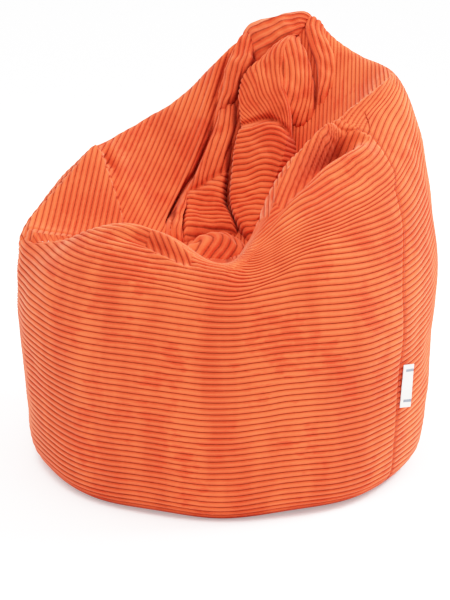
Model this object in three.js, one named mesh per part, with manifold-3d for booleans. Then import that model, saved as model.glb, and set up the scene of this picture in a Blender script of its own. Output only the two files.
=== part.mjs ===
// Bean bag chair: pear-shaped corduroy cover with its crown folded over the back edge into the seat,
// a zipped inner liner and a bead fill. Millimetres, +Z up, front of the seat facing -Y.
import * as THREE from 'three';
import { mergeVertices } from 'three/addons/utils/BufferGeometryUtils.js';
import Module from 'manifold-3d';

// ---------------------------------------------------------------- overall sizes
const BAG_WIDTH = 726; // left to right at the belly
const BAG_DEPTH = 712; // front to back at the belly
const BAG_HEIGHT = 765; // floor to the top of the folded crown
const SEAT_DEPTH_FRACTION = 0.47; // height of the bottom of the hollow / BAG_HEIGHT
const BASE_FRACTION = 0.84; // footprint radius / belly radius

// ---------------------------------------------------------------- cloth thicknesses and gaps
const COVER = 2.5; // corduroy with its wales
const LINER = 0.6; // inner bag
const GAP = 0.3; // between two layers of cloth
const SEAM_GAP = 0.4; // between two neighbouring panels
const FOLD_GAP = 0.55; // between a loose fold and the cloth below it

// ---------------------------------------------------------------- seams (degrees, 0 = +X, 90 = back)
const SEAM_RIGHT = -35;
const SEAM_BACK = 80;
const SEAM_LEFT = 185;
const COLUMN_PITCH = 10.5; // mesh columns, degrees
const FACET_SAG = (BAG_WIDTH / 2) * (1 - Math.cos((COLUMN_PITCH * Math.PI) / 360)); // flat columns on the round bag
const TIP_RADIUS = 4; // the gores meet around this small ring

// ---------------------------------------------------------------- zips, set in the back seam
const ZIP_LENGTH = 0.48 * BAG_HEIGHT;
const ZIP_BOTTOM = 0.1 * BAG_HEIGHT;
const ZIP_SLOT = 7; // half width of the gap between the panels
const COIL_INNER = 0.9; // half gap between the two coils, where the slider's post runs
const COIL_WIDTH = 3.2;
const COIL_HEIGHT = 2;
const COIL_TOP = 0.5; // depth of the coil below the cloth face
const TAPE_WIDTH = 19;
const TAPE_THICKNESS = 0.7;
const SLIDER_LENGTH = 12;
const SLIDER_PLATE = 0.8;
const SLIDER_POST = 0.6; // half width of the post
const STOP_LENGTH = 4;
const PULL_LENGTH = 32;
const PULL_WIDTH = 8;
const PULL_THICKNESS = 1.2;
const LUG_HEIGHT = 4.2; // the slider's loop that holds the pull

// ---------------------------------------------------------------- side label
const LABEL_HEIGHT = 76;
const LABEL_WIDTH = 20;
const LABEL_THICKNESS = 0.8;
const LABEL_ANGLE = 30; // how far the tab stands off the side of the bag
const LABEL_CENTRE = 0.25 * BAG_HEIGHT;

// The back seam is flat behind the zips so that the sliders run straight.
const ZIP_TOP = ZIP_BOTTOM + ZIP_LENGTH;
const TAPE_DEPTH = Math.max(COIL_TOP + COIL_HEIGHT, COVER) + GAP;
const SLIDER_BACK = TAPE_DEPTH + TAPE_THICKNESS + GAP + SLIDER_PLATE;
const SLIDER_FRONT = COIL_TOP - GAP - SLIDER_PLATE;
const LINER_DEPTH = COVER + GAP;
const LINER_ZIP_DEPTH = SLIDER_BACK + GAP - SLIDER_FRONT;
const FILL_DEPTH = LINER_DEPTH + LINER + GAP;
const FILL_ZIP_DEPTH = LINER_ZIP_DEPTH + SLIDER_BACK + GAP;

// ---------------------------------------------------------------- shape of the filled bag
// Edge of the seat: direction in degrees, radius / half width, height / BAG_HEIGHT.
const EDGE = [
  [-90, 0.83, 0.552],
  [-78, 0.69, 0.594],
  [-61, 0.55, 0.682],
  [-38, 0.51, 0.744],
  [-11, 0.6, 0.806],
  [12, 0.82, 0.87],
  [33, 0.83, 0.887],
  [45, 0.82, 0.912],
  [57, 0.78, 0.972],
  [71, 0.73, 0.948],
  [82, 0.72, 0.92],
  [92, 0.71, 0.875],
  [108, 0.72, 0.778],
  [122, 0.74, 0.736],
  [140, 0.76, 0.696],
  [152, 0.76, 0.678],
  [165, 0.82, 0.62],
  [183, 0.97, 0.525],
  [203, 0.83, 0.549],
  [217, 0.77, 0.588],
  [232, 0.72, 0.608],
  [248, 0.71, 0.593],
];
const BELLY_HEIGHT = [
  [-90, 0.36],
  [0, 0.5],
  [90, 0.42],
  [180, 0.39],
];

const rad = (deg) => (deg * Math.PI) / 180;
const mix = (a, b, k) => a + (b - a) * k;
const smooth = (x) => {
  const k = Math.min(1, Math.max(0, x));
  return k * k * (3 - 2 * k);
};

// Smooth closed curve through values given at some directions.
function ringCurve(stations, column) {
  const n = stations.length;
  const at = (i) => {
    const turn = Math.floor(i / n);
    const s = stations[i - turn * n];
    return [s[0] + 360 * turn, s[column]];
  };
  return (deg) => {
    const a = ((((deg - stations[0][0]) % 360) + 360) % 360) + stations[0][0];
    let i = 0;
    while (at(i + 1)[0] <= a) i += 1;
    const [p0, p1, p2, p3] = [at(i - 1), at(i), at(i + 1), at(i + 2)];
    const h = p2[0] - p1[0];
    const k = (a - p1[0]) / h;
    const m1 = ((p2[1] - p0[1]) / (p2[0] - p0[0])) * h;
    const m2 = ((p3[1] - p1[1]) / (p3[0] - p1[0])) * h;
    const k2 = k * k;
    const k3 = k2 * k;
    return (2 * k3 - 3 * k2 + 1) * p1[1] + (k3 - 2 * k2 + k) * m1 + (3 * k2 - 2 * k3) * p2[1] + (k3 - k2) * m2;
  };
}

const edgeRadius = ringCurve(EDGE, 1);
const edgeHeight = ringCurve(EDGE, 2);
const bellyHeight = ringCurve(BELLY_HEIGHT, 1);

function bellyRadius(deg) {
  const c = Math.cos(rad(deg)) / (BAG_WIDTH / 2);
  const s = Math.sin(rad(deg)) / (BAG_DEPTH / 2);
  return 1 / Math.hypot(c, s);
}

// Section of the bag in one direction, from the base seam over the edge of the seat to its middle.
const T_EDGE = 6;
const T_MIDDLE = 10;
function section(deg) {
  const belly = bellyRadius(deg);
  const base = belly * BASE_FRACTION;
  const roll = BAG_HEIGHT * 0.07;
  const top = edgeHeight(deg) * BAG_HEIGHT;
  const edge = Math.min(edgeRadius(deg) * (BAG_WIDTH / 2), belly - 4);
  const mid = Math.min(bellyHeight(deg) * BAG_HEIGHT, top - 0.13 * BAG_HEIGHT);
  const floor = SEAT_DEPTH_FRACTION * BAG_HEIGHT;
  return [
    [base - roll * 0.55, 0],
    [base, 0],
    [base + roll * 0.5, roll * 0.3],
    [mix(base, belly, 0.72), roll],
    [mix(base, belly, 0.88), mix(roll, mid, 0.4)],
    [belly, mid],
    [mix(edge, belly, 0.74), mix(mid, top, 0.66)],
    [edge, top],
    [edge - 0.065 * BAG_HEIGHT, mix(top, floor, 0.12)],
    [edge * 0.62, mix(top, floor, 0.42)],
    [edge * 0.38, mix(top, floor, 0.84)],
    [0, floor],
    [-edge * 0.38, mix(top, floor, 0.84)],
  ];
}

function sectionPoint(deg, t) {
  const pts = section(deg);
  const i = Math.min(T_MIDDLE - 1, Math.floor(t));
  const k = t - i;
  const [p0, p1, p2, p3] = [pts[i], pts[i + 1], pts[i + 2], pts[i + 3]];
  return [0, 1].map((c) => {
    const a = 2 * p1[c];
    const b = p2[c] - p0[c];
    const d = 2 * p0[c] - 5 * p1[c] + 4 * p2[c] - p3[c];
    const e = -p0[c] + 3 * p1[c] - 3 * p2[c] + p3[c];
    return 0.5 * (a + b * k + d * k * k + e * k * k * k);
  });
}

const BACK_FLAT = bellyRadius(SEAM_BACK) * 0.985;
function point(deg, t) {
  const [r0, z] = sectionPoint(deg, t);
  const turn = ((((deg - SEAM_BACK + 180) % 360) + 360) % 360) - 180;
  const across = 1 - smooth((Math.abs(turn) - 11) / 16);
  const along = t > T_EDGE ? 0 : smooth((z - ZIP_BOTTOM + 70) / 28) * smooth((ZIP_TOP + 90 - z) / 40);
  const flat = BACK_FLAT / Math.max(0.5, Math.cos(rad(turn)));
  const r = mix(r0, flat, across * along);
  return new THREE.Vector3(r * Math.cos(rad(deg)), r * Math.sin(rad(deg)), z);
}

function normal(deg, t) {
  const lo = Math.max(0, t - 0.02);
  const hi = Math.min(T_MIDDLE - 0.04, t + 0.02);
  const du = point(deg + 0.2, t).sub(point(deg - 0.2, t));
  const dv = point(deg, hi).sub(point(deg, lo));
  const n = du.cross(dv).normalize();
  return t === 0 ? new THREE.Vector3(0, 0, -1) : n;
}

const offset = (deg, t, depth) => point(deg, t).addScaledVector(normal(deg, t), -depth);

function solve(f, target, lo, hi) {
  for (let i = 0; i < 50; i += 1) {
    const m = (lo + hi) / 2;
    if (f(m) < target) lo = m;
    else hi = m;
  }
  return (lo + hi) / 2;
}
const tAtHeight = (z, deg = SEAM_BACK) => solve((t) => sectionPoint(deg, t)[1], z, 0, T_EDGE);
const T_TIP = solve((t) => -sectionPoint(SEAM_BACK, t)[0], -TIP_RADIUS, T_EDGE + 2, T_MIDDLE);

// ---------------------------------------------------------------- mesh rows and columns
const TAPER = 8; // the zip slot narrows to a seam over this length
const GROOVE_END = 12;
const GROOVE_FADE = 25;
const ZIP_HEIGHTS = [
  ZIP_BOTTOM - GROOVE_END - GROOVE_FADE,
  ZIP_BOTTOM - GROOVE_END,
  ZIP_BOTTOM - TAPER,
  ZIP_BOTTOM,
  mix(ZIP_BOTTOM, ZIP_TOP, 0.18),
  mix(ZIP_BOTTOM, ZIP_TOP, 0.38),
  mix(ZIP_BOTTOM, ZIP_TOP, 0.6),
  mix(ZIP_BOTTOM, ZIP_TOP, 0.8),
  ZIP_TOP,
  ZIP_TOP + TAPER,
  ZIP_TOP + GROOVE_END,
  ZIP_TOP + GROOVE_END + GROOVE_FADE,
];
const INNER_ROWS = [6.25, 6.5, 6.75, 7, 7.3, 7.6, 7.9, 8.2, 8.5, 8.8, 9.1, 9.4, 9.7, T_TIP];
const ROWS = [0, 0.4, 0.8, ...ZIP_HEIGHTS.map((z) => tAtHeight(z)), 5, 5.35, 5.7, T_EDGE, ...INNER_ROWS];

function columnsBetween(from, to) {
  const n = Math.round((to - from) / COLUMN_PITCH);
  const list = [];
  for (let i = 0; i <= n; i += 1) list.push(mix(from, to, i / n));
  if (to === SEAM_BACK) list.splice(n, 0, SEAM_BACK - 4.4);
  if (from === SEAM_BACK) list.splice(1, 0, SEAM_BACK + 4.4);
  return list;
}

// Inset of the inner layers behind the zips.
function groove(deg, t) {
  const turn = Math.abs(((((deg - SEAM_BACK + 180) % 360) + 360) % 360) - 180);
  if (t > T_EDGE - 0.5) return 0;
  const z = sectionPoint(SEAM_BACK, t)[1];
  const across = 1 - smooth((turn - 4.5) / 4);
  const below = smooth((z - ZIP_BOTTOM + GROOVE_END + GROOVE_FADE) / GROOVE_FADE);
  const above = smooth((ZIP_TOP + GROOVE_END + GROOVE_FADE - z) / GROOVE_FADE);
  return across * below * above;
}

// Half of the gap between two panels at a seam.
function seamGap(seam, t) {
  if (seam !== SEAM_BACK || t > T_EDGE) return SEAM_GAP / 2;
  const z = sectionPoint(SEAM_BACK, t)[1];
  const open = smooth((z - ZIP_BOTTOM + TAPER) / TAPER) * smooth((ZIP_TOP + TAPER - z) / TAPER);
  return mix(SEAM_GAP / 2, ZIP_SLOT, open);
}

// ---------------------------------------------------------------- closed bodies from grids of points
function gridBody(outer, inner) {
  const rows = outer.length;
  const cols = outer[0].length;
  const positions = [];
  const index = [];
  for (const grid of [outer, inner]) {
    for (const row of grid) for (const p of row) positions.push(p.x, p.y, p.z);
  }
  const id = (side, i, j) => side * rows * cols + i * cols + j;
  const quad = (a, b, c, d) => index.push(a, b, c, a, c, d);
  for (let i = 0; i < rows - 1; i += 1) {
    for (let j = 0; j < cols - 1; j += 1) {
      quad(id(0, i, j), id(0, i, j + 1), id(0, i + 1, j + 1), id(0, i + 1, j));
      quad(id(1, i, j), id(1, i + 1, j), id(1, i + 1, j + 1), id(1, i, j + 1));
    }
    quad(id(0, i, 0), id(0, i + 1, 0), id(1, i + 1, 0), id(1, i, 0));
    quad(id(0, i, cols - 1), id(1, i, cols - 1), id(1, i + 1, cols - 1), id(0, i + 1, cols - 1));
  }
  for (let j = 0; j < cols - 1; j += 1) {
    quad(id(0, 0, j), id(1, 0, j), id(1, 0, j + 1), id(0, 0, j + 1));
    quad(id(0, rows - 1, j), id(0, rows - 1, j + 1), id(1, rows - 1, j + 1), id(1, rows - 1, j));
  }
  return geometry(positions, index);
}

function geometry(positions, index) {
  const g = new THREE.BufferGeometry();
  g.setAttribute('position', new THREE.Float32BufferAttribute(positions, 3));
  g.setIndex(index);
  g.computeVertexNormals();
  return g;
}

// One gore from the base seam over the edge of the seat to the middle of the hollow.
function panel(from, to, depth, zipDepth, thickness) {
  const columns = columnsBetween(from, to);
  const last = columns.length - 1;
  const layer = (extra) =>
    ROWS.map((t) =>
      columns.map((deg, j) => {
        let a = deg;
        const reach = sectionPoint(deg, t)[0];
        if (j === 0) a += (seamGap(from, t) / reach) * (180 / Math.PI);
        if (j === last) a -= (seamGap(((to + 180) % 360) - 180, t) / reach) * (180 / Math.PI);
        return offset(a, t, mix(depth, zipDepth, groove(a, t)) + extra);
      })
    );
  return gridBody(layer(0), layer(thickness));
}

// Round pad that closes the bag underneath, its edge following the foot of the panels.
function basePad(bottom, thickness) {
  const columns = [
    ...columnsBetween(SEAM_RIGHT, SEAM_BACK).slice(1),
    ...columnsBetween(SEAM_BACK, SEAM_LEFT).slice(1),
    ...columnsBetween(SEAM_LEFT, SEAM_RIGHT + 360).slice(1),
  ];
  const outline = columns.map((deg) => {
    const r = sectionPoint(deg, 0)[0] - SEAM_GAP;
    return new THREE.Vector2(r * Math.cos(rad(deg)), r * Math.sin(rad(deg)));
  });
  const g = new THREE.ExtrudeGeometry(new THREE.Shape(outline), { depth: thickness, bevelEnabled: false });
  g.translate(0, 0, bottom);
  return g;
}

// The heap of beads: one closed body just inside the liner.
function fillBody() {
  const columns = [
    ...columnsBetween(SEAM_RIGHT, SEAM_BACK).slice(1),
    ...columnsBetween(SEAM_BACK, SEAM_LEFT).slice(1),
    ...columnsBetween(SEAM_LEFT, SEAM_RIGHT + 360).slice(1),
  ];
  const n = columns.length;
  const positions = [0, 0, FILL_DEPTH];
  const rings = ROWS;
  const inner = columns.map((deg) => sectionPoint(deg, 0)[0] * 0.55);
  columns.forEach((deg, j) => {
    positions.push(inner[j] * Math.cos(rad(deg)), inner[j] * Math.sin(rad(deg)), FILL_DEPTH);
  });
  for (const t of rings) {
    for (const deg of columns) {
      const p = offset(deg, t, mix(FILL_DEPTH, FILL_ZIP_DEPTH, groove(deg, t)));
      positions.push(p.x, p.y, p.z);
    }
  }
  const topId = positions.length / 3;
  positions.push(0, 0, sectionPoint(0, T_MIDDLE)[1] - FILL_DEPTH);
  const index = [];
  const id = (ring, j) => 1 + ring * n + (j % n);
  for (let j = 0; j < n; j += 1) {
    index.push(0, id(0, j + 1), id(0, j));
    index.push(topId, id(rings.length, j), id(rings.length, j + 1));
    for (let i = 0; i < rings.length; i += 1) {
      index.push(id(i, j), id(i, j + 1), id(i + 1, j + 1));
      index.push(id(i, j), id(i + 1, j + 1), id(i + 1, j));
    }
  }
  return geometry(positions, index);
}

// A padded fold of the crown lying on the cloth; left(k) and right(k) give its edges as [deg, t].
function fold(left, right, height, rows, cols) {
  const grid = (lift) =>
    Array.from({ length: rows + 1 }, (_, i) =>
      Array.from({ length: cols + 1 }, (_, j) => {
        const k = i / rows;
        const s = j / cols;
        const [a0, t0] = right(k);
        const [a1, t1] = left(k);
        const arch = Math.sqrt(Math.max(0, 1 - (2 * s - 1) ** 2));
        const ends = Math.sqrt(Math.max(0, 1 - (2 * k - 1) ** 8));
        const up = lift ? COVER + height * arch * ends : 0;
        return offset(mix(a0, a1, s), mix(t0, t1, s), -(2 * FACET_SAG + FOLD_GAP + up));
      })
    );
  return gridBody(grid(true), grid(false));
}

// ---------------------------------------------------------------- zips
const ZIP_OUT = new THREE.Vector3(Math.cos(rad(SEAM_BACK)), Math.sin(rad(SEAM_BACK)), 0);
const ZIP_SIDE = new THREE.Vector3(ZIP_OUT.y, -ZIP_OUT.x, 0);
const COIL_OUTER = COIL_INNER + COIL_WIDTH;
const SLIDER_REST = ZIP_BOTTOM + STOP_LENGTH + 2 * GAP + SLIDER_LENGTH / 2;
const FLANGE = 1;
const LUG_RADIUS = LUG_HEIGHT / 2;
const LUG_HOLE = 1;
const LUG_WIDTH = 2;

// Move a shape drawn with x sideways, y outwards and z up to the back seam.
function atZip(g, depth, z = 0) {
  const m = new THREE.Matrix4().makeBasis(ZIP_SIDE, ZIP_OUT, new THREE.Vector3(0, 0, 1));
  const p = ZIP_OUT.clone().multiplyScalar(BACK_FLAT - depth);
  m.setPosition(p.x, p.y, z);
  return g.applyMatrix4(m);
}

// Extrude an outline in x and y upwards.
function bar(outline, bottom, top) {
  const shape = new THREE.Shape(outline.map(([x, y]) => new THREE.Vector2(x, y)));
  const g = new THREE.ExtrudeGeometry(shape, { depth: top - bottom, bevelEnabled: false });
  return g.translate(0, 0, bottom);
}

function rectangle(x0, x1, y0, y1) {
  return [[x0, y0], [x1, y0], [x1, y1], [x0, y1]];
}

function roundHole(x, y, radius) {
  const points = [];
  for (let i = 0; i < 16; i += 1) {
    const a = (-i * Math.PI) / 8;
    points.push(new THREE.Vector2(x + radius * Math.cos(a), y + radius * Math.sin(a)));
  }
  return new THREE.Path(points);
}

function coilOutline(side) {
  const outline = [];
  for (let i = 0; i < 12; i += 1) {
    const a = rad(i * 30 + 15);
    const x = side * (COIL_INNER + COIL_WIDTH / 2) + (COIL_WIDTH / 2) * Math.cos(a) / Math.cos(rad(15));
    outline.push([x, -COIL_TOP - COIL_HEIGHT / 2 + (COIL_HEIGHT / 2) * Math.sin(a)]);
  }
  return outline;
}

// Slider drawn as its cross-section, with the post only in the upper part.
function sliderBody(withLug) {
  const half = COIL_OUTER + GAP + FLANGE;
  const front = -SLIDER_FRONT;
  const shell = [
    [-half, front],
    [-half, -TAPE_DEPTH + GAP],
    [-half + FLANGE, -TAPE_DEPTH + GAP],
    [-half + FLANGE, front - SLIDER_PLATE],
    [-SLIDER_POST, front - SLIDER_PLATE],
    [-SLIDER_POST, -SLIDER_BACK + SLIDER_PLATE],
    [-half, -SLIDER_BACK + SLIDER_PLATE],
    [-half, -SLIDER_BACK],
    [half, -SLIDER_BACK],
    [half, -SLIDER_BACK + SLIDER_PLATE],
    [SLIDER_POST, -SLIDER_BACK + SLIDER_PLATE],
    [SLIDER_POST, front - SLIDER_PLATE],
    [half - FLANGE, front - SLIDER_PLATE],
    [half - FLANGE, -TAPE_DEPTH + GAP],
    [half, -TAPE_DEPTH + GAP],
    [half, front],
  ];
  const body = bar(shell, -SLIDER_LENGTH / 2, SLIDER_LENGTH / 2);
  if (!withLug) return body;
  const arch = new THREE.Shape();
  arch.moveTo(-LUG_RADIUS, -0.4);
  arch.lineTo(LUG_RADIUS, -0.4);
  arch.lineTo(LUG_RADIUS, LUG_RADIUS - 0.3);
  arch.absarc(0, LUG_RADIUS - 0.3, LUG_RADIUS, 0, Math.PI, false);
  arch.holes.push(roundHole(0, LUG_RADIUS - 0.3, LUG_HOLE));
  const lug = new THREE.ExtrudeGeometry(arch, { depth: LUG_WIDTH, bevelEnabled: false, curveSegments: 10 });
  lug.translate(0, 0, -LUG_WIDTH / 2);
  lug.rotateY(-Math.PI / 2);
  lug.translate(0, front, 0);
  return union(body, lug);
}

// Pull hanging from the lug; its short top bar is the hinge.
const PULL_OUT = -SLIDER_FRONT + LUG_RADIUS - 0.3;
function pullTab() {
  const w = PULL_WIDTH / 2;
  const b = PULL_THICKNESS / 2;
  const outline = new THREE.Shape();
  outline.moveTo(w - 1, b);
  outline.lineTo(-w + 1, b);
  outline.lineTo(-w, b - 1);
  outline.absarc(0, -PULL_LENGTH + w, w, Math.PI, 2 * Math.PI, false);
  outline.lineTo(w, b - 1);
  const eye = new THREE.Path();
  const e = LUG_WIDTH / 2 + 0.4;
  eye.moveTo(-e, -b);
  eye.lineTo(e, -b);
  eye.lineTo(e, -b - 5);
  eye.lineTo(-e, -b - 5);
  outline.holes.push(eye, roundHole(0, -PULL_LENGTH + w, 1.6));
  const g = new THREE.ExtrudeGeometry(outline, {
    depth: PULL_THICKNESS,
    bevelEnabled: false,
    curveSegments: 10,
  });
  g.translate(0, 0, -PULL_THICKNESS / 2);
  return g.rotateX(Math.PI / 2);
}

// ---------------------------------------------------------------- side label, sewn into the right seam
const LABEL_T = tAtHeight(LABEL_CENTRE, SEAM_RIGHT);
function labelFrame() {
  const low = point(SEAM_RIGHT, tAtHeight(LABEL_CENTRE - LABEL_HEIGHT / 2, SEAM_RIGHT));
  const high = point(SEAM_RIGHT, tAtHeight(LABEL_CENTRE + LABEL_HEIGHT / 2, SEAM_RIGHT));
  const up = high.clone().sub(low).normalize();
  const out = normal(SEAM_RIGHT, LABEL_T);
  out.addScaledVector(up, -out.dot(up)).normalize();
  const side = new THREE.Vector3().crossVectors(up, out);
  const along = side.clone().multiplyScalar(Math.cos(rad(LABEL_ANGLE)));
  along.addScaledVector(out, Math.sin(rad(LABEL_ANGLE)));
  const root = low.add(high).multiplyScalar(0.5).addScaledVector(out, 2.2);
  return { up, along, face: new THREE.Vector3().crossVectors(along, up), root };
}

function sideLabel() {
  const { up, along, face, root } = labelFrame();
  const g = new THREE.BoxGeometry(LABEL_WIDTH, LABEL_THICKNESS, LABEL_HEIGHT);
  g.translate(LABEL_WIDTH / 2, 0, 0);
  const m = new THREE.Matrix4().makeBasis(along, face.negate(), up);
  m.setPosition(root);
  return g.applyMatrix4(m);
}

// ---------------------------------------------------------------- joining two bodies
const wasm = await Module();
wasm.setup();
function toManifold(g) {
  const welded = mergeVertices(new THREE.BufferGeometry().setAttribute('position', g.attributes.position)
    .setIndex(g.index ?? null));
  const mesh = new wasm.Mesh({
    numProp: 3,
    vertProperties: new Float32Array(welded.attributes.position.array),
    triVerts: new Uint32Array(welded.index.array),
  });
  mesh.merge();
  return new wasm.Manifold(mesh);
}

function union(a, b) {
  const mesh = toManifold(a).add(toManifold(b)).getMesh();
  return geometry(Array.from(mesh.vertProperties), Array.from(mesh.triVerts));
}

// ---------------------------------------------------------------- materials
const cloth = (color) => new THREE.MeshStandardMaterial({ color, roughness: 0.95, metalness: 0 });
const CORD = cloth(0xe0663f);
const CORD_DEEP = cloth(0xc9552f);
const LINING = cloth(0xe9e6df);
const BEADS = new THREE.MeshStandardMaterial({ color: 0xfafaf7, roughness: 0.7, metalness: 0 });
const TAPE = cloth(0xcf5a34);
const COIL = new THREE.MeshStandardMaterial({ color: 0xc8542f, roughness: 0.45, metalness: 0 });
const METAL = new THREE.MeshStandardMaterial({ color: 0xb9bcc0, roughness: 0.35, metalness: 1 });
const WHITE_TAPE = cloth(0xf1f0ec);
const WHITE_COIL = new THREE.MeshStandardMaterial({ color: 0xecebe6, roughness: 0.45, metalness: 0 });
const LABEL = cloth(0xf4f3f0);

// ---------------------------------------------------------------- the chair
const group = new THREE.Group();
group.name = 'bean_bag_chair';
function add(name, geom, material) {
  const mesh = new THREE.Mesh(geom, material);
  mesh.name = name;
  group.add(mesh);
}

const FRONT = [SEAM_LEFT - 360, SEAM_RIGHT];
const RIGHT = [SEAM_RIGHT, SEAM_BACK];
const LEFT = [SEAM_BACK, SEAM_LEFT];
add('cover_base', basePad(0, COVER), CORD);
add('cover_front_panel', panel(...FRONT, 0, 0, COVER), CORD);
add('cover_back_right_panel', panel(...RIGHT, 0, 0, COVER), CORD);
add('cover_back_left_panel', panel(...LEFT, 0, 0, COVER), CORD);
add('liner_base', basePad(LINER_DEPTH, LINER), LINING);
add('liner_front_panel', panel(...FRONT, LINER_DEPTH, LINER_ZIP_DEPTH, LINER), LINING);
add('liner_back_right_panel', panel(...RIGHT, LINER_DEPTH, LINER_ZIP_DEPTH, LINER), LINING);
add('liner_back_left_panel', panel(...LEFT, LINER_DEPTH, LINER_ZIP_DEPTH, LINER), LINING);
add('bead_fill', fillBody(), BEADS);

// Folds of the crown: [deg, t] edges from the top (k = 0) to the bottom (k = 1) of each fold.
const line = (...stops) => (k) => {
  const n = stops.length - 1;
  const i = Math.min(n - 1, Math.floor(k * n));
  const f = k * n - i;
  return [mix(stops[i][0], stops[i + 1][0], f), mix(stops[i][1], stops[i + 1][1], f)];
};
const HOOD_OUT = line([51, 6.05], [58, 5.9], [72, 5.9], [86, 5.9], [98, 6.05]);
const HOOD_IN = line([51, 6.6], [58, 6.95], [72, 7.0], [86, 7.05], [98, 6.75]);
add('crown_hood', fold(HOOD_OUT, HOOD_IN, 11, 14, 6), CORD);
const TONGUE_LEFT = line([66, 7.2], [88, 7.3], [94, 7.7], [93, 8.3], [96, 8.9], [88, 9.35]);
const TONGUE_RIGHT = line([58, 7.15], [59, 7.4], [60, 7.8], [60, 8.3], [58, 8.9], [62, 9.35]);
add('crown_tongue', fold(TONGUE_LEFT, TONGUE_RIGHT, 24, 14, 7), CORD);
const PLEAT_LEFT = line([55, 7.05], [56, 7.6], [57, 8.2], [56, 8.7]);
const PLEAT_RIGHT = line([48, 6.95], [44, 7.5], [44, 8.1], [50, 8.7]);
add('crown_pleat', fold(PLEAT_LEFT, PLEAT_RIGHT, 9, 10, 5), CORD_DEEP);
const SIDE_LEFT = line([110, 7.0], [112, 7.7], [117, 8.3], [124, 8.8], [122, 9.2]);
const SIDE_RIGHT = line([101, 7.0], [98, 7.6], [97, 8.2], [99, 8.8], [103, 9.2]);
add('crown_side_fold', fold(SIDE_LEFT, SIDE_RIGHT, 20, 12, 6), CORD);

function addZip(prefix, depth, tape, coil, withPull) {
  for (const [name, side] of [['left', 1], ['right', -1]]) {
    const [x0, x1] = [side * COIL_INNER, side * (COIL_INNER + TAPE_WIDTH)].sort((a, b) => a - b);
    const strip = rectangle(x0, x1, -TAPE_DEPTH - TAPE_THICKNESS, -TAPE_DEPTH);
    add(`${prefix}_tape_${name}`, atZip(bar(strip, ZIP_BOTTOM - 6, ZIP_TOP + 6), depth), tape);
    const run = bar(coilOutline(side), ZIP_BOTTOM + STOP_LENGTH + GAP, ZIP_TOP - STOP_LENGTH - GAP);
    add(`${prefix}_coil_${name}`, atZip(run, depth), coil);
  }
  const stop = rectangle(-COIL_OUTER, COIL_OUTER, -COIL_TOP - COIL_HEIGHT, -COIL_TOP);
  add(`${prefix}_bottom_stop`, atZip(bar(stop, ZIP_BOTTOM, ZIP_BOTTOM + STOP_LENGTH), depth), METAL);
  add(`${prefix}_top_stop`, atZip(bar(stop, ZIP_TOP - STOP_LENGTH, ZIP_TOP), depth), METAL);
  add(`${prefix}_slider`, atZip(sliderBody(withPull), depth, SLIDER_REST), METAL);
  if (withPull) add(`${prefix}_pull`, atZip(pullTab(), depth - PULL_OUT, SLIDER_REST), METAL);
}
addZip('cover_zip', 0, TAPE, COIL, true);
addZip('liner_zip', LINER_ZIP_DEPTH, WHITE_TAPE, WHITE_COIL, false);
add('side_label', sideLabel(), LABEL);

// Stand the bag on the floor with its outline centred over the origin.
const box = new THREE.Box3().setFromObject(group);
const centre = box.getCenter(new THREE.Vector3());
for (const mesh of group.children) mesh.geometry.translate(-centre.x, -centre.y, -box.min.z);

export default group;
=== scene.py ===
"""Corduroy bean bag chair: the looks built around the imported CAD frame, in metres."""
import math

import bmesh
import bpy
import numpy as np
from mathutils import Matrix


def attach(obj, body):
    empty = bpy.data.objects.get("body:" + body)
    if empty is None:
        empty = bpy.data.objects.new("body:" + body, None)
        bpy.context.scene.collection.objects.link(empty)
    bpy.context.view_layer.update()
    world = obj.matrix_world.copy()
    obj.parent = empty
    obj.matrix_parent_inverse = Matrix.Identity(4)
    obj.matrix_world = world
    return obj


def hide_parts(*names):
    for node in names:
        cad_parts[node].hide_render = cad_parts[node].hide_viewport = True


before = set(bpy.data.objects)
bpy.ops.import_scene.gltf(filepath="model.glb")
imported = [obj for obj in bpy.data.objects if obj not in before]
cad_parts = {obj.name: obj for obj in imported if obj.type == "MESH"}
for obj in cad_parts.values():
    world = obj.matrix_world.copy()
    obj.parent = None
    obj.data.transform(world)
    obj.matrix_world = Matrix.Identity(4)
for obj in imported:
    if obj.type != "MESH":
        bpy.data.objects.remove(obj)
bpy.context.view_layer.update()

# ---- sizes
# The driving sizes of part.mjs, repeated in metres.
WIDTH, DEPTH, HEIGHT = 0.726, 0.712, 0.765
SEAT = 0.47 * HEIGHT  # bottom of the hollow
BASE = 0.84  # footprint radius / belly radius
SEAM_BACK, SEAM_LEFT = 80.0, 185.0
ZIP_BOTTOM = 0.1 * HEIGHT
ZIP_TOP = ZIP_BOTTOM + 0.48 * HEIGHT
ZIP_SLOT = 0.007
T_EDGE, T_MIDDLE = 6, 10  # t runs from the base seam, 0, to the middle of the hollow, 10

WALE = 0.0104  # pitch of the corduroy's wales
WALE_HEIGHT = 0.0027

# Edge of the seat: direction in degrees, radius / half width, height / HEIGHT. It starts from points read in
# the photograph, turned into directions and radii by a scratch program and then adjusted.
EDGE = [(-90, 0.83, 0.552), (-78, 0.69, 0.594), (-61, 0.55, 0.682), (-38, 0.51, 0.744), (-11, 0.6, 0.806),
        (12, 0.82, 0.87), (33, 0.83, 0.887), (45, 0.82, 0.912), (57, 0.78, 0.972), (71, 0.73, 0.948),
        (82, 0.72, 0.92), (92, 0.71, 0.875), (108, 0.72, 0.778), (122, 0.74, 0.736), (140, 0.76, 0.696),
        (152, 0.76, 0.678), (165, 0.82, 0.62), (183, 0.97, 0.525), (203, 0.83, 0.549), (217, 0.77, 0.588),
        (232, 0.72, 0.608), (248, 0.71, 0.593)]
BELLY = [(-90, 0.36), (0, 0.5), (90, 0.42), (180, 0.39)]


def mix(a, b, k):
    return a + (b - a) * k


def smooth(x):
    x = np.clip(x, 0, 1)
    return x * x * (3 - 2 * x)


def bump(x):
    """1 at x = 0, fading to 0 at x = +-1."""
    return smooth(1 - np.abs(x))


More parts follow.
